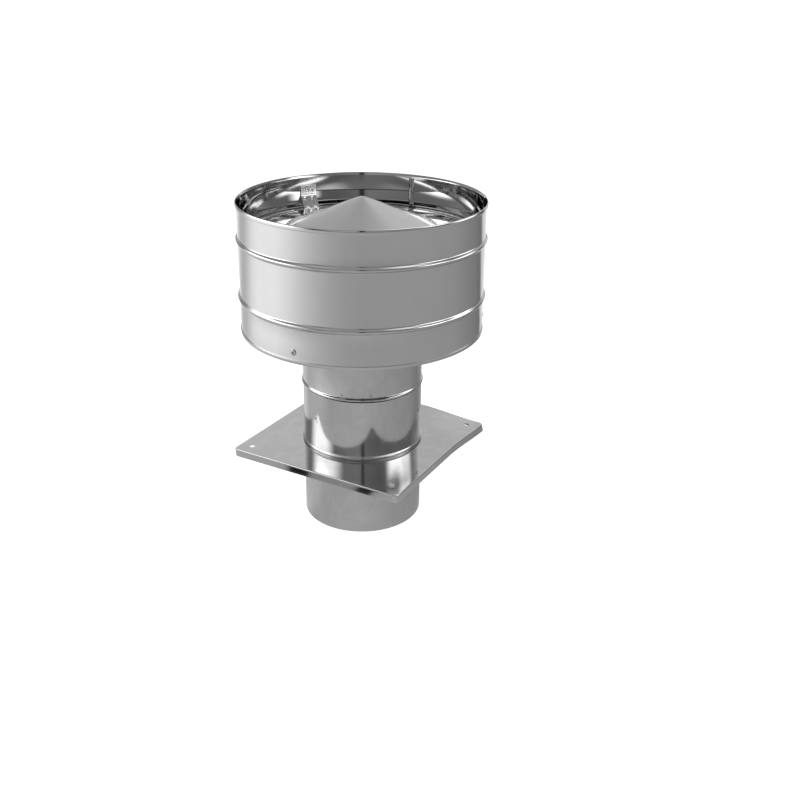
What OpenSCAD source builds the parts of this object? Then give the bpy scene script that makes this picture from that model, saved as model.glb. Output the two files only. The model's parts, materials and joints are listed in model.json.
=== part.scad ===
// Wind cowl for a round flue: a drum open at both ends hangs on a tube, with a
// double-cone cap inside it, and a folded roof plate is held on the tube.
// All lengths are millimetres. Z is up, and z = 0 is the bottom end of the tube.

/* [Pipe and tube] */
// Inside diameter of the flue pipe and of the base tube
pipe_bore = 110; // [90:1:114]
// Sheet thickness of the tubes, the drum and the cap
sheet = 0.5; // [0.4:0.1:0.8]
// Length of the base tube under the roof plate
tail_len = 74.4; // [50:0.2:120]
// Height of the base tube over the roof plate
riser_len = 57.5; // [45:0.5:90]
// How far the two beads that grip the plate stand out
grip_bead_out = 1.4; // [0.8:0.1:2]
// Height of each bead that grips the plate
grip_bead_h = 4; // [3:0.5:6]

/* [Roof plate] */
// Side of the square roof plate, over its folds
plate_side = 175; // [150:1:240]
// Sheet thickness of the roof plate
plate_sheet = 0.6; // [0.5:0.1:1]
// Length of the folded flange on each side
flange_len = 7; // [5:0.5:15]
// Lean of the flanges outwards from upright, in degrees
flange_lean = 12; // [0:1:25]
// Cut across each corner of the plate
corner_cut = 2.5; // [1:0.5:6]
// Distance of the screw holes from the plate's sides
hole_inset = 12.5; // [10:0.5:20]
// Diameter of the screw holes
hole_d = 5; // [4:0.1:7]

/* [Neck] */
// Depth of the neck's spigot inside the base tube
spigot_len = 35; // [28:1:40]
// How far the stop bead stands out of the neck
stop_bead_out = 1.5; // [0.8:0.1:2]
// Height of the stop bead
stop_bead_h = 5; // [4:0.5:8]
// Height of the neck from the base tube's top edge to the drum
neck_rise = 54.5; // [40:0.5:80]
// Distance of the tube rivets below the base tube's top edge
rivet_drop = 24.5; // [15:0.5:26]

/* [Drum] */
// Outside diameter of the drum
drum_d = 220; // [214:1:240]
// Height of the drum
drum_h = 119; // [110:1:150]
// How far the drum's stiffening beads stand out
drum_bead_out = 1.9; // [1:0.1:3]
// Height of each stiffening bead
drum_bead_h = 6.4; // [5:0.2:10]
// Distance of the bead centres from the drum's two ends
drum_bead_inset = 33.4; // [30:0.1:45]
// How far the rolled rim stands out at the top
rim_out = 1; // [0.6:0.1:2]
// Height of the rolled rim
rim_h = 4; // [3:0.5:8]
// How far the flattened hem stands out at the bottom
hem_out = 0.6; // [0.4:0.1:1.2]
// Height of the flattened hem
hem_h = 3; // [2:0.5:6]
// Width of the lap along the drum's seam
seam_lap = 4.6; // [3:0.1:10]

/* [Diffuser] */
// Outside diameter of the diffuser's mouth
mouth_d = 137.5; // [126:0.5:146]
// Height of the diffuser's flared part
flare_h = 33; // [25:1:38]
// Height of the diffuser's collar round the neck
collar_h = 8; // [6:0.5:9]

/* [Cap] */
// Gap between the brim's edge and the drum's outside, where the air gets out
cap_gap = 10; // [8:0.5:14]
// Depth of the brim's edge below the drum's rim
cap_drop = 30.5; // [28:0.5:34]
// Fall of the brim towards its edge, in degrees
brim_fall = 6; // [3:1:9]
// Diameter of the rain cone that stands on the brim
cone_d = 137.4; // [124:0.2:150]
// Height of the rain cone
cone_h = 28; // [20:0.2:34]
// How far the rain cone reaches over the brim's inner edge
cone_lap = 8; // [6:0.5:12]
// Depth of the reverse cone below the brim
reverse_h = 18; // [12:1:20]
// Width of the seam that holds the reverse cone to the brim
reverse_lap = 6; // [4:0.5:10]

/* [Brackets] */
// Width of the strips that the brackets are cut from
bracket_w = 16; // [12:1:20]
// Thickness of the bracket strips
bracket_sheet = 1; // [0.8:0.1:1.4]
// Distance of the upper brackets' tabs below the rim
tab_drop = 10.5; // [8:0.5:12]
// Height of the upper brackets' tabs
tab_h = 9.5; // [8:0.5:12]
// Length of the upper brackets' feet under the brim
foot_len = 12; // [8:0.5:20]
// Height of the tabs on the lower brackets
lower_tab_h = 13; // [11:0.5:14]
// Height of the lower brackets over the drum's bottom edge
lower_lift = 3; // [1:0.5:6]
// Width of the ribs pressed into the brackets
rib_w = 4.4; // [3:0.1:5]
// Height of the ribs over the strip
rib_out = 0.7; // [0.4:0.1:1]

/* [Rivets] */
// Shank diameter of the blind rivets at the lower brackets
rivet_d = 3.2; // [2.4:0.1:4]
// Head diameter of the blind rivets
rivet_head_d = 5.8; // [5:0.1:7]
// Shank diameter of the small rivets in the base tube
pin_rivet_d = 2; // [1.6:0.1:3]

/* [Hidden] */

// Clearances
slip = 0.25;      // round a part that slides into another
seat = 0.1;       // between two sheets that are pressed together
hole_play = 0.1;  // round a rivet's shank
round_fn = 96;
small_fn = 32;
arc_steps = 6;
bead_steps = 12;

// Base tube and plate
tube_in = pipe_bore / 2;
tube_out = tube_in + sheet;
plate_z0 = tail_len;
plate_z1 = plate_z0 + plate_sheet;
tube_top = plate_z1 + riser_len;
bead_lead = 0.25; // a gripping bead starts this far inside the plate's thickness
grip_beads = [
    [plate_z0 + bead_lead - grip_bead_h / 2, grip_bead_h, grip_bead_out],
    [plate_z1 - bead_lead + grip_bead_h / 2, grip_bead_h, grip_bead_out]];
plate_half = plate_side / 2;
hole_reach = plate_half - hole_inset;
fold_r = 1.5;        // bend radius at the middle of the plate's sheet
plate_web = 4;       // the flat sheet stops this far inside the folds
flange_root = 6;     // each folded strip starts this far inside the folds

// Neck
spigot_out = tube_in - slip;
bead_nest = 0.4;     // the stop bead sits down over the base tube's edge by this much
stop_z0 = tube_top - bead_nest;
stop_mid = stop_z0 + stop_bead_h / 2;
rivet_z = tube_top - rivet_drop;
tube_rivet_turns = [-20, 100, 220];

// Drum
drum_out = drum_d / 2;
drum_in = drum_out - sheet;
drum_z0 = tube_top + neck_rise;
drum_z1 = drum_z0 + drum_h;
drum_beads = [
    [drum_z0 + drum_bead_inset, drum_bead_h, drum_bead_out],
    [drum_z1 - drum_bead_inset, drum_bead_h, drum_bead_out]];
seam_turn = 185;     // turn of the drum's seam against the first bracket

// Lower brackets
lower_z = drum_z0 + lower_lift;
lower_rivet_z = lower_z + lower_tab_h / 2 + bracket_sheet / 2;
bend_r = 1.3;        // bend radius at the middle of a bracket strip
wall_chord = sqrt(drum_in * drum_in - bracket_w * bracket_w / 4); // a flat tab stands off a round wall
tab_mid_r = wall_chord - 0.05 - bracket_sheet / 2;
neck_tab_mid_r = tube_out + 0.05 + bracket_sheet / 2;

// Blind rivets
rivet_r = rivet_d / 2;
rivet_head_r = rivet_head_d / 2;
rivet_head_h = 0.9;
core_r = rivet_d * 0.28;
bulb_r = rivet_d * 0.72;
bulb_len = 2.2;
pin_head_h = 0.8;
drum_grip = drum_out + 0.1 - (tab_mid_r - bracket_sheet / 2);
neck_head_r = neck_tab_mid_r + bracket_sheet / 2 + 0.05;

// Diffuser
collar_z0 = lower_z + lower_tab_h + 2;
collar_in = tube_out + seat;
flare_z0 = collar_z0 + collar_h;
mouth_z = flare_z0 + flare_h;
neck_top = flare_z0 - 0.5;
mouth_out = mouth_d / 2;
lip_h = 3;           // height of the folded lip round the mouth

// Cap
cap_r = drum_out - cap_gap;
brim_z = drum_z1 - cap_drop;
cone_r = cone_d / 2;
brim_bore_r = cone_r - cone_lap;
edge_hem_w = 4;      // width of the folded hem under the brim's edge and the cone's edge
function brim_top(r) = brim_z + (cap_r - r) * tan(brim_fall);
cone_z0 = brim_top(cone_r) + seat;
cone_tip = cone_z0 + cone_h;
cone_sheet = sheet * 1.1; // the slanted sheet's thickness measured upright
edge_lip = 0.5;      // upright part of the cone's folded edge
tip_r = 2.5;         // radius of the blunt tip
reverse_r = brim_bore_r + reverse_lap;

// Upper brackets
tab_top_z = drum_z1 - tab_drop;
tab_bottom_z = tab_top_z - tab_h;
foot_mid_drop = sheet * 2 + seat + bracket_sheet / 2;
heel_r = cap_r + bracket_sheet + 0.4;
foot_r = cap_r - foot_len;
bracket_turns = [0, 120, 240];

// Outline of a bead: how far the wall stands out at height z
function swell(z, bead) = abs(z - bead[0]) < bead[1] / 2
    ? bead[2] * (1 + cos(360 * (z - bead[0]) / bead[1])) / 2 : 0;
function swells(z, beads) = len(beads) == 0 ? 0 : max([for (bead = beads) swell(z, bead)]);
function bead_levels(beads) = [for (bead = beads) for (i = [0 : bead_steps])
    bead[0] - bead[1] / 2 + bead[1] * i / bead_steps];
function arc(centre, r, from, to) =
    [for (i = [0 : arc_steps]) let (a = from + (to - from) * i / arc_steps) centre + r * [cos(a), sin(a)]];
function reversed(list) = [for (i = [len(list) - 1 : -1 : 0]) list[i]];

// A strip of sheet bent along a line of points, seen from its edge
function unit(v) = v / norm(v);
function left_of(v) = [-v[1], v[0]];
function turn_at(path, i) = let (u = unit(path[i] - path[i - 1]), v = unit(path[i + 1] - path[i]))
    atan2(u[0] * v[1] - u[1] * v[0], u * v);
function bend_points(path, i, side, r) =
    let (u = unit(path[i] - path[i - 1]), turn = turn_at(path, i), way = sign(turn),
        centre = path[i] - r * tan(abs(turn) / 2) * u + way * r * left_of(u))
    [for (k = [0 : arc_steps]) let (a = turn * k / arc_steps, v = -way * left_of(u) * (r - way * side))
        centre + [v[0] * cos(a) - v[1] * sin(a), v[0] * sin(a) + v[1] * cos(a)]];
function strip_side(path, side, r) = let (last = len(path) - 1) concat(
    [path[0] + side * left_of(unit(path[1] - path[0]))],
    [for (i = [1 : last - 1]) each bend_points(path, i, side, r)],
    [path[last] + side * left_of(unit(path[last] - path[last - 1]))]);
module bent_strip(path, thick, r) {
    polygon(concat(strip_side(path, thick / 2, r), reversed(strip_side(path, -thick / 2, r))));
}

// A thin wall turned round Z from its outer face, with beads rolled into it
module rolled_wall(out, z0, z1, beads, thick = sheet) {
    levels = concat([z0], bead_levels(beads), [z1]);
    rotate_extrude($fn = round_fn) polygon(concat(
        [for (z = levels) [out + swells(z, beads), z]],
        [for (z = reversed(levels)) [out - thick + swells(z, beads), z]]));
}

// Puts a thing drawn along +X at a turn from the front, which is -Y
module at_turn(turn) {
    rotate([0, 0, turn - 90]) children();
}

module radial_hole(r, height, near, far, turns) {
    for (turn = turns) at_turn(turn)
        translate([near, 0, height]) rotate([0, 90, 0]) cylinder(r = r, h = far - near, $fn = small_fn);
}

// Raised rib with round ends, lying along X on the plane z = 0
module pressed_rib(length) {
    for (x = [-1, 1]) translate([x * (length - rib_w) / 2, 0, 0])
        cylinder(d = rib_w, h = rib_out, $fn = small_fn);
    translate([-(length - rib_w) / 2, -rib_w / 2, 0]) cube([length - rib_w, rib_w, rib_out]);
}

// Blind rivet along +X: its head's seat is at x = 0 and the sheets reach in to x = -grip
module blind_rivet(grip) {
    rotate([0, 90, 0]) rotate_extrude($fn = small_fn) polygon(concat(
        [[core_r, -grip - bulb_len], [bulb_r * 0.8, -grip - bulb_len], [bulb_r, -grip - bulb_len * 0.7],
            [bulb_r, -grip], [rivet_r, -grip], [rivet_r, 0], [rivet_head_r, 0]],
        [for (i = [1 : arc_steps]) let (a = 90 * i / arc_steps)
            [core_r + (rivet_head_r - core_r) * cos(a), rivet_head_h * sin(a)]]));
}

// The broken-off pin that stays in a blind rivet, its own head at the rivet's tail
module rivet_pin(grip) {
    tail = -grip - bulb_len - 0.05;
    rotate([0, 90, 0]) rotate_extrude($fn = small_fn) polygon([
        [0, tail - pin_head_h], [rivet_r * 0.7, tail - pin_head_h], [rivet_r, tail - pin_head_h * 0.4],
        [rivet_r, tail], [core_r - 0.05, tail], [core_r - 0.05, rivet_head_h * 0.4],
        [0, rivet_head_h * 0.4]]);
}

// Small solid rivet, headed on both sides
module solid_rivet(shank, head, grip) {
    head_h = head * 0.3;
    rotate([0, 90, 0]) rotate_extrude($fn = small_fn) polygon(concat(
        [[0, -grip - head_h], [shank, -grip - head_h], [head * 0.75, -grip], [shank, -grip], [shank, 0]],
        [for (i = [0 : arc_steps]) let (a = 90 * i / arc_steps) [head * cos(a), head_h * sin(a)]]));
}

// Base tube, with one bead above the plate and one below it
module base_tube() {
    color([0.72, 0.73, 0.74]) difference() {
        rolled_wall(tube_out, 0, tube_top, grip_beads);
        radial_hole(pin_rivet_d / 2 + hole_play, rivet_z, tube_in - 2, tube_out + 2,
            tube_rivet_turns);
    }
}

// Square roof plate, its four edges folded down and mitred
module plate_flange() {
    mid = plate_z1 - plate_sheet / 2;
    fold = plate_half - plate_sheet / 2;
    reach = plate_half - corner_cut;
    depth = flange_len + plate_sheet;
    intersection() {
        rotate([90, 0, 0]) linear_extrude(height = 2 * reach, center = true)
            bent_strip([[plate_half - flange_root, mid], [fold, mid],
                [fold + flange_len * sin(flange_lean), mid - flange_len * cos(flange_lean)]],
                plate_sheet, fold_r);
        translate([plate_half - 2 * flange_root, 0, plate_z1]) rotate([90, 0, 90])
            linear_extrude(height = 4 * flange_root) polygon([[-reach, 1], [reach, 1], [reach, -fold_r],
                [reach - depth, -depth], [depth - reach, -depth], [-reach, -fold_r]]);
    }
}

module base_plate() {
    web = plate_half - plate_web;
    color([0.76, 0.77, 0.78]) difference() {
        union() {
            translate([-web, -web, plate_z0]) cube([2 * web, 2 * web, plate_sheet]);
            for (turn = [0 : 90 : 270]) rotate([0, 0, turn]) plate_flange();
        }
        translate([0, 0, plate_z0 - 1])
            cylinder(r = tube_out + slip, h = plate_sheet + 2, $fn = round_fn);
        for (x = [-1, 1], y = [-1, 1])
            translate([x * hole_reach, y * hole_reach, plate_z0 - 1])
                cylinder(d = hole_d, h = plate_sheet + 2, $fn = small_fn);
    }
}

// Neck: its spigot slides into the base tube until the stop bead rests on the tube's edge
module neck_tube() {
    bead_r = tube_out + stop_bead_out;
    lower = [for (i = [0 : bead_steps / 2]) let (z = stop_z0 + stop_bead_h * i / bead_steps)
        [spigot_out + swell(z, [stop_mid, stop_bead_h, bead_r - spigot_out]), z]];
    upper = [for (i = [bead_steps / 2 + 1 : bead_steps]) let (z = stop_z0 + stop_bead_h * i / bead_steps)
        [tube_out + swell(z, [stop_mid, stop_bead_h, stop_bead_out]), z]];
    outer = concat([[spigot_out, tube_top - spigot_len]], lower, upper, [[tube_out, neck_top]]);
    color([0.74, 0.75, 0.76]) difference() {
        rotate_extrude($fn = round_fn)
            polygon(concat(outer, [for (p = reversed(outer)) p - [sheet, 0]]));
        radial_hole(pin_rivet_d / 2 + hole_play, rivet_z, tube_in - 3, tube_out + 2,
            tube_rivet_turns);
        radial_hole(rivet_r + hole_play, lower_rivet_z, tube_in - 2, tube_out + 2, bracket_turns);
    }
}

module tube_rivets() {
    color([0.68, 0.68, 0.69]) for (turn = tube_rivet_turns) at_turn(turn)
        translate([tube_out + 0.05, 0, rivet_z])
            solid_rivet(pin_rivet_d / 2, pin_rivet_d, 2 * sheet + slip + 0.1);
}

// Diffuser: a collar round the neck's top that flares to a folded mouth
module diffuser() {
    flare = unit([mouth_out - collar_in - sheet, flare_h]);
    color([0.74, 0.75, 0.76]) rotate_extrude($fn = round_fn) polygon([
        [collar_in, collar_z0], [collar_in + sheet, collar_z0], [collar_in + sheet, flare_z0],
        [mouth_out - sheet, mouth_z - lip_h - 0.3], [mouth_out, mouth_z - lip_h], [mouth_out, mouth_z - 0.4],
        [mouth_out - 0.4, mouth_z], [mouth_out - 1.6 * sheet, mouth_z],
        [mouth_out - 2 * sheet - lip_h * flare[0] * 0.5, mouth_z - lip_h],
        [collar_in, flare_z0 + sheet * 0.3]]);
}

// Drum: rolled sheet with a curled rim, two beads, a hem and a lapped seam
module outer_drum() {
    rim_mid = (rim_out + sheet) / 2;
    lead = 2;  // the wall swells out to the hem over this height
    outer = concat(
        [[drum_out + hem_out - 0.3, drum_z0], [drum_out + hem_out, drum_z0 + 0.3],
            [drum_out + hem_out, drum_z0 + hem_h]],
        [for (i = [1 : arc_steps]) let (a = 180 * i / arc_steps)
            [drum_out + hem_out * (1 + cos(a)) / 2, drum_z0 + hem_h + lead * i / arc_steps]],
        [for (z = bead_levels(drum_beads)) [drum_out + swells(z, drum_beads), z]],
        [[drum_out, drum_z1 - rim_h], [drum_out + rim_out - 0.3, drum_z1 - rim_h],
            [drum_out + rim_out, drum_z1 - rim_h + 0.3]],
        arc([drum_in + rim_mid, drum_z1 - rim_mid], rim_mid, 0, 180));
    inner = concat(
        [for (z = reversed(bead_levels(drum_beads))) [drum_in + swells(z, drum_beads), z]],
        [[drum_in, drum_z0]]);
    lap_levels = concat([drum_z0 + 0.5], bead_levels(drum_beads), [drum_z1 - rim_h]);
    lap_angle = seam_lap / drum_in * 180 / PI;
    color([0.78, 0.79, 0.80]) difference() {
        union() {
            rotate_extrude($fn = round_fn) polygon(concat(outer, inner));
            at_turn(seam_turn) rotate([0, 0, -lap_angle / 2])
                rotate_extrude(angle = lap_angle, $fn = round_fn) polygon(concat(
                    [for (z = lap_levels) [drum_in + sheet / 2 + swells(z, drum_beads), z]],
                    [for (z = reversed(lap_levels)) [drum_in - sheet + swells(z, drum_beads), z]]));
        }
        radial_hole(rivet_r + hole_play, lower_rivet_z, drum_in - 2, drum_out + 2, bracket_turns);
    }
}

// Lower bracket: a channel from the neck out to the drum, riveted at both ends
module lower_bracket(turn) {
    arm_z = lower_z + bracket_sheet / 2;
    top = lower_z + lower_tab_h;
    span = tab_mid_r - neck_tab_mid_r;
    color([0.70, 0.71, 0.72]) at_turn(turn) difference() {
        union() {
            rotate([90, 0, 0]) linear_extrude(height = bracket_w, center = true)
                bent_strip([[neck_tab_mid_r, top], [neck_tab_mid_r, arm_z],
                    [tab_mid_r, arm_z], [tab_mid_r, top]], bracket_sheet, bend_r);
            translate([neck_tab_mid_r + span / 2, 0, lower_z + bracket_sheet - 0.05])
                pressed_rib(span - 12);
        }
        translate([tube_in, 0, lower_rivet_z]) rotate([0, 90, 0])
            cylinder(r = rivet_r + hole_play, h = drum_out - tube_in, $fn = small_fn);
    }
}
module lower_bracket_a() { lower_bracket(bracket_turns[0]); }
module lower_bracket_b() { lower_bracket(bracket_turns[1]); }
module lower_bracket_c() { lower_bracket(bracket_turns[2]); }

// Blind rivets, headed outside the drum
module drum_rivets() {
    color([0.66, 0.66, 0.67]) for (turn = bracket_turns) at_turn(turn)
        translate([drum_out + 0.05, 0, lower_rivet_z]) blind_rivet(drum_grip);
}
module drum_rivet_pins() {
    color([0.40, 0.40, 0.42]) for (turn = bracket_turns) at_turn(turn)
        translate([drum_out + 0.05, 0, lower_rivet_z]) rivet_pin(drum_grip);
}

// Blind rivets that hold the lower brackets to the neck, headed on the brackets
module neck_rivets() {
    color([0.66, 0.66, 0.67]) for (turn = bracket_turns) at_turn(turn)
        translate([neck_head_r, 0, lower_rivet_z]) blind_rivet(neck_head_r - tube_in + 0.1);
}
module neck_rivet_pins() {
    color([0.40, 0.40, 0.42]) for (turn = bracket_turns) at_turn(turn)
        translate([neck_head_r, 0, lower_rivet_z]) rivet_pin(neck_head_r - tube_in + 0.1);
}

// Upper bracket: a tab on the drum's wall, a sloping arm with two ribs, and a foot under the brim
module upper_bracket(turn) {
    heel = [heel_r, brim_top(heel_r) - foot_mid_drop];
    toe = [foot_r, brim_top(foot_r) - foot_mid_drop];
    knee = [tab_mid_r, tab_bottom_z];
    slope = atan2(knee[1] - heel[1], knee[0] - heel[0]);
    arm_len = norm(knee - heel);
    color([0.80, 0.81, 0.82]) at_turn(turn) union() {
        rotate([90, 0, 0]) linear_extrude(height = bracket_w, center = true)
            bent_strip([[tab_mid_r, tab_top_z], knee, heel, toe], bracket_sheet, bend_r);
        for (y = [-1, 1])
            translate([(knee[0] + heel[0]) / 2, y * bracket_w * 0.23, (knee[1] + heel[1]) / 2])
                rotate([0, -slope, 0]) translate([0, 0, bracket_sheet / 2 - 0.05])
                    pressed_rib(arm_len - 2);
    }
}
module upper_bracket_a() { upper_bracket(bracket_turns[0]); }
module upper_bracket_b() { upper_bracket(bracket_turns[1]); }
module upper_bracket_c() { upper_bracket(bracket_turns[2]); }

// Brim: a flat cone ring with a folded edge, which carries the rain cone
module cap_brim() {
    hem_in = cap_r - edge_hem_w;
    color([0.80, 0.81, 0.82]) rotate_extrude($fn = round_fn) polygon(concat(
        [[brim_bore_r, brim_top(brim_bore_r)], [brim_bore_r, brim_top(brim_bore_r) - sheet],
            [hem_in, brim_top(hem_in) - sheet], [hem_in, brim_top(hem_in) - 2 * sheet]],
        arc([cap_r - sheet, brim_top(cap_r - sheet) - sheet], sheet, -90, 90)));
}

// Rain cone with a slightly blunt tip, its edge folded under
module rain_cone() {
    pitch = (cone_h - edge_lip) / (cone_r - tip_r / 2);
    radii = [0, tip_r * 0.35, tip_r * 0.7, tip_r, cone_r];
    hem_in = cone_r - edge_hem_w;
    function top(r) = cone_tip - pitch * (r < tip_r ? r * r / (2 * tip_r) : r - tip_r / 2);
    color([0.77, 0.77, 0.78]) rotate_extrude($fn = round_fn) polygon(concat(
        [[cone_r, cone_z0 + 0.2], [cone_r - 0.3, cone_z0], [hem_in, top(hem_in) - 2 * cone_sheet],
            [hem_in, top(hem_in) - cone_sheet]],
        [for (i = [3 : -1 : 0]) [radii[i], top(radii[i]) - cone_sheet]],
        [for (r = radii) [r, top(r)]]));
}

// Reverse cone, seamed under the brim, which turns the rising draught outwards
module reverse_cone() {
    top_in = brim_top(brim_bore_r) - sheet - seat;
    top_out = brim_top(reverse_r) - sheet - seat;
    tip = top_in - reverse_h;
    color([0.72, 0.73, 0.74]) rotate_extrude($fn = round_fn) polygon([
        [0, tip], [brim_bore_r, top_in - sheet], [reverse_r, top_out - sheet], [reverse_r, top_out],
        [brim_bore_r - 0.3, top_in], [0, tip + cone_sheet]]);
}

base_tube();
base_plate();
neck_tube();
tube_rivets();
diffuser();
outer_drum();
lower_bracket_a();
lower_bracket_b();
lower_bracket_c();
drum_rivets();
drum_rivet_pins();
neck_rivets();
neck_rivet_pins();
upper_bracket_a();
upper_bracket_b();
upper_bracket_c();
cap_brim();
rain_cone();
reverse_cone();
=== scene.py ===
import json
import math
import bpy
from mathutils import Matrix, Vector

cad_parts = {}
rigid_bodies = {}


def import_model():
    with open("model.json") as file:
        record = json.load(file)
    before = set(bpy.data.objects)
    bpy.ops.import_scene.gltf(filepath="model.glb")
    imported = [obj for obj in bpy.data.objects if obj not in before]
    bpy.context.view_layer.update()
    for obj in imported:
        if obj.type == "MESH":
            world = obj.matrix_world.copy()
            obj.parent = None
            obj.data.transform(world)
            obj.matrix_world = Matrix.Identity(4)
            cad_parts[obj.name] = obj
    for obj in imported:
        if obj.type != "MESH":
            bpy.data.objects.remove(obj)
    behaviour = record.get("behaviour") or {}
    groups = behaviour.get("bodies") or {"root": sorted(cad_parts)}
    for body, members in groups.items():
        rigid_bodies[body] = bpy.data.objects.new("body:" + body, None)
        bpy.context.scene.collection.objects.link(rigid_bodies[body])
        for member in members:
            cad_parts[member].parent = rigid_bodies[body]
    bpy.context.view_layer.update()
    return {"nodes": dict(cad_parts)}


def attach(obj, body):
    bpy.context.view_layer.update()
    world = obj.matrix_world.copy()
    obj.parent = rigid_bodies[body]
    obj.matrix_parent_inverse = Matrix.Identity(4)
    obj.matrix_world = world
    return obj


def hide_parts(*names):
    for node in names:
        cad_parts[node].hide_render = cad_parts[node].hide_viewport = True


bpy.ops.object.select_all(action="SELECT")
bpy.ops.object.delete()
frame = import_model()
cad = frame["nodes"]
bpy.ops.object.select_all(action="DESELECT")

# Base tube. A strip of bright stainless sheet, 0.5 mm thick, rolled to 110 mm inside and
# butt welded. Two beads are rolled into it, one over the roof plate and one under it, which
# grip the plate between them. Its plain lower end goes to the flue pipe.
MM = 0.001
tube_r = 55.25
tube_foot, tube_top = 0.25, 132.25
under_plate, over_plate = 72.65, 76.75
grip_bead_h, grip_bead_out = 4, 1.4


class Signal:
    """One value in a shader, so that a sum of values reads as plain maths."""

    def __init__(self, finish, socket):
        self.finish, self.socket = finish, socket

    def meet(self, operation, first, second=0):
        return self.finish.add("ShaderNodeMath", {"operation": operation}, {0: first, 1: second})

    def __add__(self, other):
        return self.meet("ADD", self, other)

    def __sub__(self, other):
        return self.meet("SUBTRACT", self, other)

    def __mul__(self, other):
        return self.meet("MULTIPLY", self, other)

    def __truediv__(self, other):
        return self.meet("DIVIDE", self, other)

    def __rsub__(self, other):
        return self.meet("SUBTRACT", other, self)

    def __abs__(self):
        return self.meet("ABSOLUTE", self)


class Finish:
    """A material, a light or the world, built up one node at a time."""

    def __init__(self, owner):
        owner.use_nodes = True
        self.owner, self.tree = owner, owner.node_tree
        self.tree.nodes.clear()

    def add(self, kind, settings=(), sockets=(), out=0):
        node = self.tree.nodes.new(kind)
        for name, value in dict(settings).items():
            if name == "stops":
                ramp = node.color_ramp
                for place, tone in value[2:]:
                    ramp.elements.new(place)
                for stop, (place, tone) in zip(ramp.elements, sorted(value)):
                    stop.position, stop.color = place, (tone, tone, tone, 1)
            else:
                setattr(node, name, value)
        for name, value in dict(sockets).items():
            if isinstance(value, Signal):
                self.tree.links.new(value.socket, node.inputs[name])
            else:
                node.inputs[name].default_value = value
        return Signal(self, node.outputs[out]) if node.outputs else self.owner

    def place(self, stretch=(1, 1, 1)):
        spot = self.add("ShaderNodeTexCoord", out="Object")
        return self.add("ShaderNodeMapping", {}, {"Vector": spot, "Scale": stretch})

    def part(self, where, axis):
        return self.add("ShaderNodeSeparateXYZ", {}, {0: where}, out=axis)

    def vector(self, operation, first, second=(0, 0, 0), out=1):
        return self.add("ShaderNodeVectorMath", {"operation": operation}, {0: first, 1: second}, out)

    def noise(self, where, scale, detail=2.0, warp=0.0):
        return self.add("ShaderNodeTexNoise", {},
                        {"Vector": where, "Scale": scale, "Detail": detail, "Distortion": warp})

    def between(self, value, low, high, to_low=0.0, to_high=1.0):
        return self.add("ShaderNodeMapRange", {"interpolation_type": "SMOOTHSTEP"},
                        {"Value": value, "From Min": low, "From Max": high,
                         "To Min": to_low, "To Max": to_high})

    def blend(self, share, first, second):
        return self.add("ShaderNodeMix", {"data_type": "RGBA"}, {0: share, 6: first, 7: second}, out=2)


def weld_line(steel, spot, ragged, turn, foot, top):
    """Where an upright weld runs: at this turn in degrees, between these heights in m. The
    ragged noise makes its edge uneven."""
    a = math.radians(turn)
    outward = steel.vector("DOT_PRODUCT", spot, (math.sin(a), -math.cos(a), 0))
    aside = steel.vector("DOT_PRODUCT", spot, (math.cos(a), math.sin(a), 0)) + (ragged - 0.5) * 0.0004
    height = steel.part(spot, 2)
    line = steel.between(abs(aside), 0.0009, 0.0003) * steel.between(outward, 0, 0.001)
    return line * steel.between(height, foot, foot + 0.0005) * steel.between(height, top, top - 0.0005)


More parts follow.
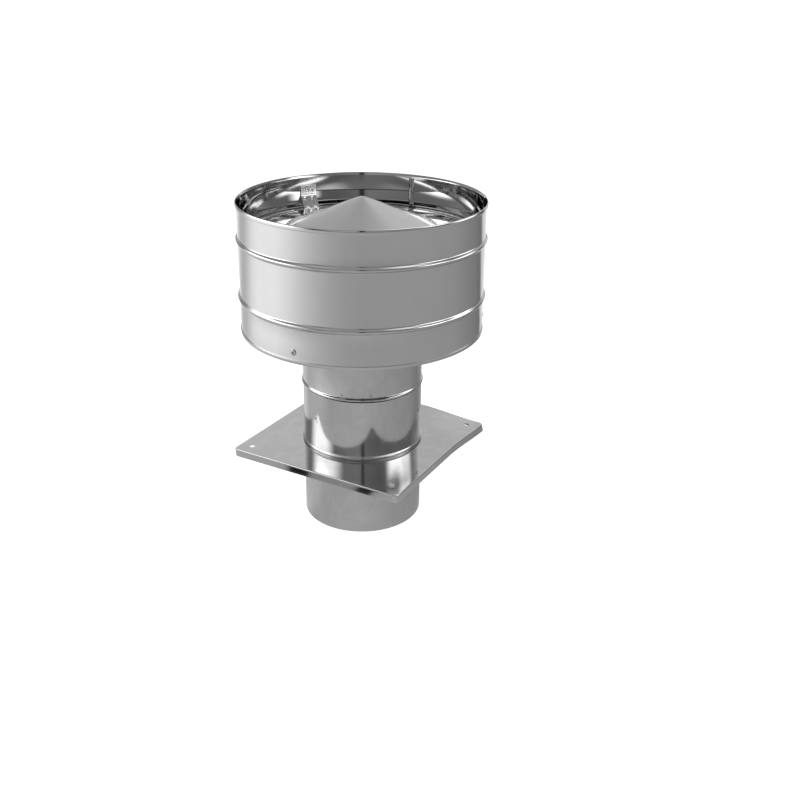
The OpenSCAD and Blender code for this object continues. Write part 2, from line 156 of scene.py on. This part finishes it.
def stainless(name, bright, haze, grain=(3, 3, 260), wave=0.12, fine=0.004, marks=0.05,
              rubbed=0.3, inside=None, edge=None, seams=(), arcs=None):
    """Rolled stainless sheet. bright is its reflectance and haze its roughness. grain is the
    stretch of its rolling lines, and wave and fine are the depth in mm of its waviness and of
    those lines. marks is how much duller its smears are, and rubbed how much its tone varies in
    patches. It is glossier within the radius inside and above the height edge, both in m. Each
    of its seams is a weld line: a turn in degrees, then the heights of its ends in m. arcs is
    the middle, in m, of faint rings from wiping."""
    steel = Finish(bpy.data.materials.new(name))
    spot = steel.place()
    lines = steel.noise(steel.place(grain), 1.0, 4.0)
    cloud = steel.noise(spot, 7.0, 1.0)
    smear = steel.between(steel.noise(steel.place((1, 1, 0.6)), 38.0, 5.0, 0.6), 0.54, 0.72)
    scuff = steel.between(steel.noise(steel.place((1.5, 1.5, 1)), 22.0, 8.0, 2.4), 0.4, 0.62)
    tone = cloud * 0.3 + lines * 0.4 + scuff * rubbed + (0.3 - rubbed) / 2
    if arcs:
        rings = steel.add("ShaderNodeTexWave", {"wave_type": "RINGS", "rings_direction": "SPHERICAL"}, {
            "Vector": steel.vector("SUBTRACT", spot, arcs, out=0),
            "Scale": 75.0, "Distortion": 3.5, "Detail": 3.0, "Detail Scale": 0.8}, out=1)
        wiped = steel.between(steel.vector("DISTANCE", spot, arcs), 0.025, 0.045, 0.4, 0.0)
        tone = tone + (rings - 0.5) * scuff * wiped
    colour = steel.blend(tone, (bright * 0.9, bright * 0.898, bright * 0.9, 1),
                         (bright * 1.08, bright * 1.07, bright * 1.074, 1))
    rough = lines * 0.05 + smear * marks + (haze - 0.025)
    if inside:
        side, front = steel.part(spot, 0), steel.part(spot, 1)
        rough = rough * steel.between((side * side + front * front) * 1e3,
                                      inside ** 2 * 1e3, (inside + 0.0003) ** 2 * 1e3, 0.45)
    if edge:
        rough = rough * steel.between(steel.part(spot, 2), edge, edge + 0.0005, 1.0, 0.4)
    for seam in seams:
        line = weld_line(steel, spot, lines, *seam)
        rough = rough + line * 0.2
        colour = steel.blend(line * 0.75, colour, (bright * 0.45, bright * 0.44, bright * 0.43, 1))
    dents = steel.add("ShaderNodeBump", {}, {
        "Strength": 1.0, "Distance": MM, "Height": cloud * wave + lines * fine})
    skin = steel.add("ShaderNodeBsdfPrincipled", {}, {
        "Base Color": colour, "Metallic": 1.0, "Roughness": rough, "Normal": dents})
    steel.add("ShaderNodeOutputMaterial", {}, {"Surface": skin})
    return steel.owner


def walled(sheet, thick):
    """Gives a sheet its thickness in mm, and shades it smooth up to its folds."""
    wall = sheet.modifiers.new("wall", "SOLIDIFY")
    wall.thickness, wall.offset, wall.use_even_offset = thick * MM, 0, True
    bpy.ops.object.modifier_apply(modifier="wall")
    bpy.ops.object.shade_smooth_by_angle(angle=math.radians(38))
    return sheet


def rolled_sheet(name, path, thick=0.5, turns=288, shut=False):
    """A sheet spun round the cowl's axis. The path gives the radius and the height of the
    middle of the sheet, in mm, and shut closes its last ring to a point."""
    bpy.ops.object.select_all(action="DESELECT")
    radius, height = path[0]
    bpy.ops.mesh.primitive_circle_add(vertices=turns, radius=radius * MM, location=(0, 0, height * MM))
    sheet = bpy.context.object
    sheet.name = name
    bpy.ops.object.mode_set(mode="EDIT")
    for (r0, z0), (r1, z1) in zip(path, path[1:]):
        bpy.ops.mesh.extrude_edges_move(TRANSFORM_OT_translate={"value": (0, 0, (z1 - z0) * MM)})
        bpy.ops.transform.resize(value=(r1 / r0, r1 / r0, 1), center_override=(0, 0, 0))
    if shut:
        bpy.ops.mesh.merge(type="CENTER")
    bpy.ops.mesh.select_all(action="SELECT")
    bpy.ops.mesh.normals_make_consistent(inside=False)
    bpy.ops.object.mode_set(mode="OBJECT")
    bpy.ops.object.transform_apply(location=True, rotation=False, scale=False)
    return walled(sheet, thick)


def eased(radius, height, to_radius, to_height, steps=9):
    """The path of half a bead: a wall that eases over from one radius to another."""
    return [(radius + (to_radius - radius) * (1 - math.cos(math.pi * i / steps)) / 2,
             height + (to_height - height) * i / steps) for i in range(steps + 1)]


def bead(radius, middle, height, out):
    """The path of one bead rolled into a wall of this radius, from below upwards."""
    return (eased(radius, middle - height / 2, radius + out, middle)
            + eased(radius + out, middle, radius, middle + height / 2)[1:])


def finished(piece, material, *nodes, slot):
    """Gives a new piece its finish and its place in the frame, in place of these CAD nodes."""
    piece.data.materials.clear()
    piece.data.materials.append(material)
    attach(piece, "root")
    if nodes:
        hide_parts(*nodes)


tube_steel = stainless("tube_steel", 0.58, 0.11, seams=[(215, 0.0, 0.1325)], arcs=(-0.03, -0.058, 0.0))
base_tube = rolled_sheet("base_tube_sheet", [(tube_r, tube_foot), (tube_r, 35)]
                         + bead(tube_r, under_plate, grip_bead_h, grip_bead_out)
                         + bead(tube_r, over_plate, grip_bead_h, grip_bead_out)
                         + [(tube_r, 105), (tube_r, tube_top)])
finished(base_tube, tube_steel, "base_tube", slot="tube_steel")

# Roof plate. A square of 0.6 mm stainless sheet with its edges folded down past upright, a
# hole for the tube, whose beads grip it, and four screw holes. It has been handled: its
# right corner droops and its front hole sits in a dent.
plate_z, tube_hole, flat_end = 74.7, 55.7, 86.0
fold_at, fold_r, fold_step = 86.4, 0.8, 0.237
flange_lean, flange_fall, flange_step, flange_h = 0.088, 0.996, 1.06, 6.4
corner_r, corner_share = 3.2, 0.12
screw_at, screw_hole_r = 75, 2.5
droop_at, droop_reach, droop_depth, droop_spread = 87, 70, 4.5, 0.016
dent_at, dent_width, dent_depth = 74.5, 7, 0.12

profile = [(tube_hole + (flat_end - tube_hole) * i / 30, plate_z, min(1, i / 20)) for i in range(31)]
profile += [(fold_at + fold_r * math.sin(i * fold_step),
             plate_z - fold_r + fold_r * math.cos(i * fold_step), 1) for i in range(8)]
fold_end = profile[-1]
profile += [(fold_end[0] - flange_lean * flange_step * i,
             fold_end[1] - flange_fall * flange_step * i, 1) for i in range(1, 7)]


def formed_sheet(name, columns, rows, place, thick, shut=False):
    """A sheet pressed out of a flat grid: place turns two numbers from 0 to 1 into a point of
    the sheet's middle, in mm, and shut joins the first column to the last."""
    bpy.ops.object.select_all(action="DESELECT")
    bpy.ops.mesh.primitive_grid_add(x_subdivisions=columns, y_subdivisions=rows, size=2)
    sheet = bpy.context.object
    sheet.name = name
    for point in sheet.data.vertices:
        point.co = Vector(place((point.co.x + 1) / 2, (point.co.y + 1) / 2)) * MM
    bpy.ops.object.mode_set(mode="EDIT")
    bpy.ops.mesh.select_all(action="SELECT")
    if shut:
        bpy.ops.mesh.remove_doubles(threshold=0.002 * MM)
    bpy.ops.mesh.normals_make_consistent(inside=False)
    bpy.ops.object.mode_set(mode="OBJECT")
    return walled(sheet, thick)


def on_plate(circuit, outwards):
    """A point of the plate: round at the tube, square with rounded corners from there out."""
    half, z, square = profile[round(outwards * (len(profile) - 1))]
    side, along = divmod(circuit * 4 % 4, 1)
    curl = corner_r + max(0, half - fold_at)
    off = abs(along - 0.5)
    a = math.pi / 4 * max(0, off - 0.5 + corner_share) / corner_share
    x = half - curl + curl * math.cos(a)
    y = min(1, off / (0.5 - corner_share)) * (half - curl) + curl * math.sin(a)
    y = math.copysign(y, along - 0.5)
    bearing = math.atan2(y, x)
    x += (half * math.cos(bearing) - x) * (1 - square)
    y += (half * math.sin(bearing) - y) * (1 - square)
    for quarter in range(int(side)):
        x, y = -y, x
    droop = max(0, 1 - math.hypot(x - droop_at, y - droop_at) / droop_reach)
    dent = math.exp(-((x - dent_at) ** 2 + (y + dent_at) ** 2) / dent_width)
    spread = 1 + droop_spread * droop * max(0, plate_z - fold_r - z) / flange_h
    return (x * spread, y * spread, z - droop_depth * droop ** 2 * (3 - 2 * droop) - dent_depth * dent)


plate_steel = stainless("plate_steel", 0.62, 0.07, grain=(2, 90, 2), wave=0.22)
plate = formed_sheet("roof_plate_sheet", 400, len(profile) - 1, on_plate, 0.6, shut=True)
punches = []
for x, y in ((1, 1), (1, -1), (-1, 1), (-1, -1)):
    bpy.ops.mesh.primitive_cylinder_add(vertices=32, radius=screw_hole_r * MM, depth=0.03,
                                        location=(x * screw_at * MM, y * screw_at * MM, 0.072))
    punches.append(bpy.context.object)
for punch in punches:
    punch.select_set(True)
bpy.context.view_layer.objects.active = punches[0]
bpy.ops.object.join()
bpy.ops.object.select_all(action="DESELECT")
plate.select_set(True)
bpy.context.view_layer.objects.active = plate
holes = plate.modifiers.new("holes", "BOOLEAN")
holes.object, holes.operation, holes.solver = punches[0], "DIFFERENCE", "EXACT"
bpy.ops.object.modifier_apply(modifier="holes")
bpy.data.objects.remove(punches[0])
finished(plate, plate_steel, "base_plate", slot="plate_steel")

# Neck. The same rolled sheet as the base tube, stepped in under a bead, so that its spigot
# slides 35 mm into the base tube and the bead rests on that tube's edge. Two short welds
# show over the bead, and its own seam is at the back.
spigot_r, spigot_foot = 54.5, 97.5
stop_bead_r, stop_bead_foot, stop_bead_mid, stop_bead_top = 56.75, 132.1, 134.6, 137.1
neck_top = 212.25
neck_steel = stainless("neck_steel", 0.58, 0.11, seams=[
    (12, 0.1373, 0.1405), (39, 0.1373, 0.1405), (205, 0.0975, 0.2125)])
neck = rolled_sheet("neck_sheet", [(spigot_r, spigot_foot), (spigot_r, 115)]
                    + eased(spigot_r, stop_bead_foot, stop_bead_r, stop_bead_mid)
                    + eased(stop_bead_r, stop_bead_mid, tube_r, stop_bead_top)[1:]
                    + [(tube_r, 160), (tube_r, 190), (tube_r, neck_top)])
finished(neck, neck_steel, "neck_tube", slot="tube_steel")

# Tube rivets. Three small solid stainless rivets hold the neck's spigot in the base tube. The
# blind rivets of the lower brackets are of the same steel.


def dressed(material, *nodes):
    """Gives a finish to the CAD nodes that show as they are."""
    for name in nodes:
        cad[name].data.materials.clear()
        cad[name].data.materials.append(material)


rivet_steel = stainless("rivet_steel", 0.52, 0.24, grain=(40, 40, 40), wave=0.0)
dressed(rivet_steel, "tube_rivets", "drum_rivets", "neck_rivets")

# Diffuser. A collar of stainless sheet, spot welded round the neck's top and flared to a
# mouth with a turned edge.
diffuser = rolled_sheet("diffuser_sheet", [(55.85, 205), (55.85, 212.6), (56.1, 213.6), (62.2, 228.5),
                                           (68.1, 242.9), (68.5, 243.6), (68.5, 245.75)])
finished(diffuser, tube_steel, "diffuser", slot="tube_steel")

# Outer drum. Stainless sheet rolled to a 220 mm ring that is open at both ends, with a
# flattened hem below and two stiffening beads. Its top edge flares a little and is rolled
# over, and a crowned strip covers the lap where its ends meet.
drum_r, hem_r, hem_z = 109.75, 0.3, 187.55
drum_bead_h, drum_bead_out = 6.4, 1.9
low_bead, high_bead = 220.4, 272.6
lap_turn, lap_width, lap_crown = 185, 2.6, 0.75
lap_foot, lap_top = 188.5, 302.0
hem = [(drum_r + 2 * hem_r, 190)]
hem += [(drum_r + hem_r + hem_r * math.cos(math.radians(a)), hem_z + hem_r * math.sin(math.radians(a)))
        for a in range(0, -181, -30)]
rolled_edge = [(109.75, 303.2), (109.79, 303.5), (110.2, 304.4), (110.34, 304.75), (110.5, 305.2),
               (110.68, 305.4), (110.86, 305.3), (111.0, 305.05), (111.1, 304.7), (111.18, 304.2),
               (111.22, 303.6), (111.2, 302.9), (111.12, 302.3), (110.9, 301.9)]
drum_steel = stainless("drum_steel", 0.60, 0.14, grain=(40, 40, 2), wave=0.16, marks=0.02,
                       rubbed=0.08, inside=0.1097, edge=0.3025)
drum = rolled_sheet("drum_sheet", hem + [(drum_r, 192), (drum_r, 205)]
                    + bead(drum_r, low_bead, drum_bead_h, drum_bead_out) + [(drum_r, 246.5)]
                    + bead(drum_r, high_bead, drum_bead_h, drum_bead_out) + [(drum_r, 290)]
                    + rolled_edge, turns=360)


def on_lap(across, along):
    """A point of the lap's strip, which stands in from the drum's inner face in the middle."""
    edge = min(1, 3.4 * min(across, 1 - across))
    radius = drum_r - 0.25 - lap_crown * edge * (2 - edge)
    a = math.radians(lap_turn + lap_width * (across - 0.5))
    return (radius * math.sin(a), -radius * math.cos(a), lap_foot + (lap_top - lap_foot) * along)


lap = formed_sheet("drum_lap_strip", 20, 60, on_lap, 0.3)
drum.select_set(True)
bpy.context.view_layer.objects.active = drum
bpy.ops.object.join()
finished(drum, drum_steel, "outer_drum", slot="drum_steel")

# Lower brackets. Channels of 1 mm stainless strip, 16 mm wide, riveted between the neck and
# the drum, which they carry.
bracket_steel = stainless("bracket_steel", 0.7, 0.19, grain=(60, 60, 60), wave=0.05)
dressed(bracket_steel, "lower_bracket_a", "lower_bracket_b", "lower_bracket_c")

# Upper brackets. The same strip, cranked: a tab with three spot welds on the drum's wall, a
# sloping arm that is stiffened by two pressed ovals, and a foot welded under the cap's brim.
strip_w, strip_thick = 16, 1.0
tab_top, tab_foot = (108.66, 295.5), (108.66, 287.5)
knee_top, knee, arm_top = (108.66, 287.0), (108.66, 286.0), (108.15, 285.14)
arm_foot, heel, foot_heel, toe = (102.0, 274.76), (101.4, 273.75), (100.3, 273.87), (88.0, 275.16)
arm_fall, arm_run = 0.861, 0.51
oval_down, oval_aside, oval_half, oval_r, oval_depth = 6.4, 3.9, 3.0, 3.0, 1.6
weld_spots, weld_rise = ((-3.4, 290.6), (0.9, 291.2), (4.2, 292.9)), 0.7


def straight(start, end, steps):
    """The points of a straight stretch of strip, without its start."""
    return [tuple(p + (q - p) * i / steps for p, q in zip(start, end)) for i in range(1, steps + 1)]


def bent(start, corner, end, steps=5):
    """The points of a bend in the strip round this corner, without its start."""
    shares = [i / steps for i in range(1, steps + 1)]
    return [tuple((1 - t) ** 2 * p + 2 * t * (1 - t) * m + t * t * q
                  for p, m, q in zip(start, corner, end)) for t in shares]


strip = [tab_top] + straight(tab_top, tab_foot, 16) + bent(knee_top, knee, arm_top)
strip += straight(arm_top, arm_foot, 24) + bent(arm_foot, heel, foot_heel) + straight(foot_heel, toe, 8)


def cranked(turn):
    """The place of each point of the bracket that stands at this turn, in degrees."""
    def place(across, along):
        r, z = strip[round(along * (len(strip) - 1))]
        off = (across - 0.5) * strip_w
        down = (arm_top[1] - z) / arm_fall - oval_down
        if 275 < z < 285.4:
            rim = math.hypot(max(0, abs(down) - oval_half), abs(off) - oval_aside) / oval_r
            press = oval_depth * (1 + math.cos(math.pi * min(1, rim))) / 2
            r, z = r + press * arm_fall, z - press * arm_run
        for spot, level in weld_spots:
            r += weld_rise * math.exp(-((off - spot) ** 2 + (z - level) ** 2) / 0.7)
        a = math.radians(turn)
        return (r * math.sin(a) + off * math.cos(a), -r * math.cos(a) + off * math.sin(a), z)
    return place


for letter, turn in zip("abc", (0, 120, 240)):
    bracket = formed_sheet("upper_bracket_" + letter + "_strip", 64, len(strip) - 1, cranked(turn),
                           strip_thick)
    finished(bracket, bracket_steel, "upper_bracket_" + letter, slot="bracket_steel")

# Rivet pins. The broken steel pins that stay in the blind rivets of the lower brackets, dull
# where they snapped. Their near black tone is painted shade: it stands in for the shade in the
# rivets' holes.
pin_steel = stainless("pin_steel", 0.16, 0.42, grain=(300, 300, 300), wave=0.0, fine=0.02)
dressed(pin_steel, "drum_rivet_pins", "neck_rivet_pins")

# Cap brim. A flat ring that falls 6 degrees outwards, its outer edge folded under, in the
# brightest sheet of all. It carries the rain cone and hangs from the upper brackets.
brim_r, brim_z, brim_fall = 100, 275.5, math.radians(6)
brim_steel = stainless("brim_steel", 0.64, 0.045, grain=(3, 3, 3), wave=0.14, marks=0.02)


def on_brim(radius, depth=0.25):
    """A point this far from the axis and this far under the brim's upper face."""
    return (radius, brim_z + (brim_r - radius) * math.tan(brim_fall) - depth)


brim_hem = [on_brim(96, 0.78), on_brim(99.3, 0.78), on_brim(99.62, 0.66), on_brim(99.74, 0.5),
            on_brim(99.62, 0.33), on_brim(99.3)]
brim = rolled_sheet("brim_sheet", brim_hem + [on_brim(radius) for radius in (92, 80, 68, 60.95)])
finished(brim, brim_steel, "cap_brim", slot="brim_steel")

# Rain cone. Satin stainless sheet turned to a cone with a blunt tip, its edge folded under,
# that sits on the brim.
cone_hem = [(64.8, 280.15), (68.2, 279.25), (68.45, 279.2), (68.45, 279.4), (68.0, 279.75)]
cone_side = [(50, 287.1), (30, 295.3), (12, 302.7)]
cone_tip = [(4, 305.9), (1.6, 306.62), (0.5, 306.7)]
cone_steel = stainless("cone_steel", 0.55, 0.17, grain=(5, 5, 5), wave=0.2, marks=0.03, rubbed=0.1)
cone = rolled_sheet("rain_cone_sheet", cone_hem + cone_side + cone_tip, shut=True)
finished(cone, cone_steel, "rain_cone", slot="cone_steel")

# Reverse cone. The same sheet again, seamed to the brim from below, with its tip down in the
# rising draught.
reverse = rolled_sheet("reverse_cone_sheet", [
    (66.5, 278.1), (61, 278.7), (60.2, 278.3), (40, 272.6), (20, 266.9), (3, 262.1), (0.5, 261.4)],
    shut=True)
finished(reverse, cone_steel, "reverse_cone", slot="cone_steel")

# Floor. A plain white sheet that keeps the soft shadow and is clear from below. The steel
# mirrors it as the studio's table: brighter on the left, where the large soft box stands,
# with two dark marks in front of the plate.
toward = math.radians(31.33)


def around(shade, where, low_stops, high_stops, height):
    """Brightness by the compass: 0 is towards the camera's side and positive is to its right.
    The stops are (degrees, brightness), and height blends from the low to the high ones."""
    turned = shade.add("ShaderNodeMapping", {"vector_type": "VECTOR"}, {
        "Vector": where, "Rotation": (0, 0, -toward)})
    side, away = shade.part(turned, 0), shade.part(turned, 1)
    compass = side.meet("ARCTAN2", side, away * -1.0) / (2 * math.pi) + 0.5
    low, high = (shade.add("ShaderNodeValToRGB", {"stops": [(0.5 + d / 360, v / 3) for d, v in stops]},
                           {0: compass}) for stops in (low_stops, high_stops))
    return (low + (high - low) * height) * 3.0


bpy.ops.object.select_all(action="DESELECT")
bpy.ops.mesh.primitive_plane_add(size=60, location=(0, 0, 0))
floor = bpy.context.object
floor.name = "floor"
paper = Finish(bpy.data.materials.new("floor_paper"))
ray = {name: paper.add("ShaderNodeLightPath", out=name)
       for name in ("Is Camera Ray", "Is Glossy Ray", "Is Transmission Ray")}
spot = paper.place()
reach, front = paper.vector("LENGTH", spot), paper.part(spot, 1)
near = [(-180, 0.5), (-137, 0.78), (-115, 0.6), (-84, 0.68), (-60, 0.53), (-20, 0.56), (0, 0.57),
        (42, 0.46), (90, 0.4), (123, 0.28), (150, 0.45), (180, 0.5)]
far = [(-180, 1.0), (-150, 0.95), (-142, 0.6), (-130, 0.64), (-121, 0.9), (-112, 1.2), (-104, 1.32),
       (-80, 1.32), (-65, 1.12), (-52, 0.88), (-39, 0.7), (-27, 0.58), (-15, 0.5), (0, 0.47), (58, 0.47),
       (87, 0.43), (105, 0.36), (125, 0.28), (134, 0.2), (137, 0.2), (140, 0.8), (155, 0.95), (180, 1.0)]
even = [(-180, 1.0), (180, 1.0)]
dark_marks = [(-180, 1.0), (-61, 0.9), (-59, 0.02), (-53.5, 0.02), (-51.5, 0.62), (-34.5, 0.62),
              (-32.5, 0.04), (-28, 0.04), (-26, 0.8), (-16, 1.0), (180, 1.0)]
marked = paper.between(front, -0.184, -0.176) * paper.between(front, -0.152, -0.158)
mirrored = around(paper, spot, near, far, paper.between(reach, 0.38, 0.62))
mirrored = mirrored * paper.between(reach, 1.6, 3.5, 1.0, 0.35)
mirrored = mirrored * around(paper, spot, even, dark_marks, marked)
matte = paper.add("ShaderNodeBsdfDiffuse", {}, {"Color": (0.8, 0.8, 0.8, 1)})
glow = paper.add("ShaderNodeEmission", {}, {
    "Strength": (ray["Is Camera Ray"] + ray["Is Transmission Ray"]) * 0.8})
lit = paper.add("ShaderNodeAddShader", {}, {0: matte, 1: glow})
table = paper.add("ShaderNodeEmission", {}, {"Strength": mirrored})
both = paper.add("ShaderNodeMixShader", {}, {0: ray["Is Glossy Ray"], 1: lit, 2: table})
below = paper.add("ShaderNodeNewGeometry", out="Backfacing")
clear = paper.add("ShaderNodeBsdfTransparent")
one_sided = paper.add("ShaderNodeMixShader", {}, {0: below, 1: both, 2: clear})
paper.add("ShaderNodeOutputMaterial", {}, {"Surface": one_sided})
floor.data.materials.append(paper.owner)

# Studio. A white surround for the camera, which the steel mirrors as a pale wall behind and a
# darker room in front. On the object shine a large and a narrow soft box on the left and two
# soft boxes on the right.
sky = Finish(bpy.data.worlds.new("studio"))
bpy.context.scene.world = sky.owner
seen = sky.add("ShaderNodeLightPath", out="Is Camera Ray")
outward = sky.add("ShaderNodeTexCoord", out="Generated")
rise = sky.part(outward, 2)
low = [(-180, 0.66), (-170, 0.72), (-150, 0.55), (-137, 0.3), (-115, 0.36), (-90, 0.28), (-60, 0.26),
       (-45, 0.3), (-20, 0.34), (-8, 0.36), (-3.5, 0.3), (-1.6, 0.05), (1.6, 0.05), (3.5, 0.27), (32, 0.2),
       (65, 0.24), (105, 0.24), (130, 0.5), (150, 0.86), (165, 0.8), (172, 0.62), (180, 0.62)]
high = [(-180, 0.55), (-130, 0.55), (-90, 0.6), (-60, 0.6), (-25, 0.38), (25, 0.38), (60, 1.4), (100, 1.5),
        (130, 1.1), (150, 0.7), (180, 0.55)]
dusk = [(-180, 1.0), (-95, 1.0), (-76, 0.15), (-42, 0.15), (-25, 1.6), (25, 1.9), (70, 1.6), (95, 0.3),
        (128, 0.3), (145, 1.0), (180, 1.0)]
room = around(sky, outward, low, high, sky.between(rise, 0.7, 0.84))
room = room * around(sky, outward, dusk, even, sky.between(rise, 0.12, 0.34))
surround = sky.add("ShaderNodeBackground", {}, {
    "Color": (1, 1, 1, 1), "Strength": room + seen * (1.0 - room)})
sky.add("ShaderNodeOutputWorld", {}, {"Surface": surround})


def round_axis(azimuth, distance, height):
    """A place at this azimuth from the camera's side, to the right when it is positive."""
    a = toward + math.radians(azimuth)
    return (distance * math.sin(a), -distance * math.cos(a), height)


def soft_box(name, azimuth, distance, height, wide, tall, bright):
    """A card of light that faces the cowl's axis, this bright in the middle and fading out
    towards its four sides."""
    box = bpy.data.lights.new(name, "AREA")
    box.shape, box.size, box.size_y = "RECTANGLE", wide, tall
    box.energy = math.pi * wide * tall
    cloth = Finish(box)
    spot = cloth.add("ShaderNodeNewGeometry", out="Parametric")
    across = cloth.between(abs(cloth.part(spot, 0) - 0.5), 0.5, 0.12)
    along = cloth.between(abs(cloth.part(spot, 1) - 0.5), 0.5, 0.3)
    glow = cloth.add("ShaderNodeEmission", {}, {"Strength": across * along * bright})
    cloth.add("ShaderNodeOutputLight", {}, {"Surface": glow})
    stand = bpy.data.objects.new(name, box)
    bpy.context.scene.collection.objects.link(stand)
    stand.location = round_axis(azimuth, distance, height)
    stand.rotation_euler = (math.pi / 2, 0, toward + math.radians(azimuth))
    stand.visible_camera = False


soft_box("left_box", -85, 0.7, 0.40, 0.92, 0.28, 2.4)
soft_box("right_box", 66, 0.6, 0.56, 0.5, 0.26, 2.8)
soft_box("edge_box", 90, 0.35, 0.345, 0.27, 0.16, 2.2)
soft_box("strip_box", -78, 0.36, 0.35, 0.66, 0.2, 1.9)

# Camera. It looks from the photograph's side, from a little further off, and is turned down
# to the cowl, with some of the lens shift left. Its focal length and the middle row of its
# picture are in pixels of the 800 pixel frame.
frame_px, focal_px, middle_px = 800, 992.7, 326
heading, dip, tilt = toward - math.radians(2.32), math.radians(20.48), math.radians(0.623)
eye = bpy.data.cameras.new("camera")
eye.sensor_width, eye.lens = 36, 36 * focal_px / frame_px
eye.shift_y = -(frame_px / 2 - middle_px) / frame_px
eye.clip_start, eye.clip_end = 0.02, 80
holder = bpy.data.objects.new("camera", eye)
bpy.context.scene.collection.objects.link(holder)
holder.location = round_axis(0, 0.8592, 0.5060)
ahead = Vector((-math.sin(heading) * math.cos(dip), math.cos(heading) * math.cos(dip), -math.sin(dip)))
level = Vector((math.cos(heading), math.sin(heading), 0))
upright = level.cross(ahead)
right = level * math.cos(tilt) + upright * math.sin(tilt)
holder.rotation_mode = "QUATERNION"
holder.rotation_quaternion = Matrix((right, (-ahead).cross(right), -ahead)).transposed().to_quaternion()
bpy.context.scene.camera = holder
bpy.context.scene.view_settings.view_transform = "Standard"
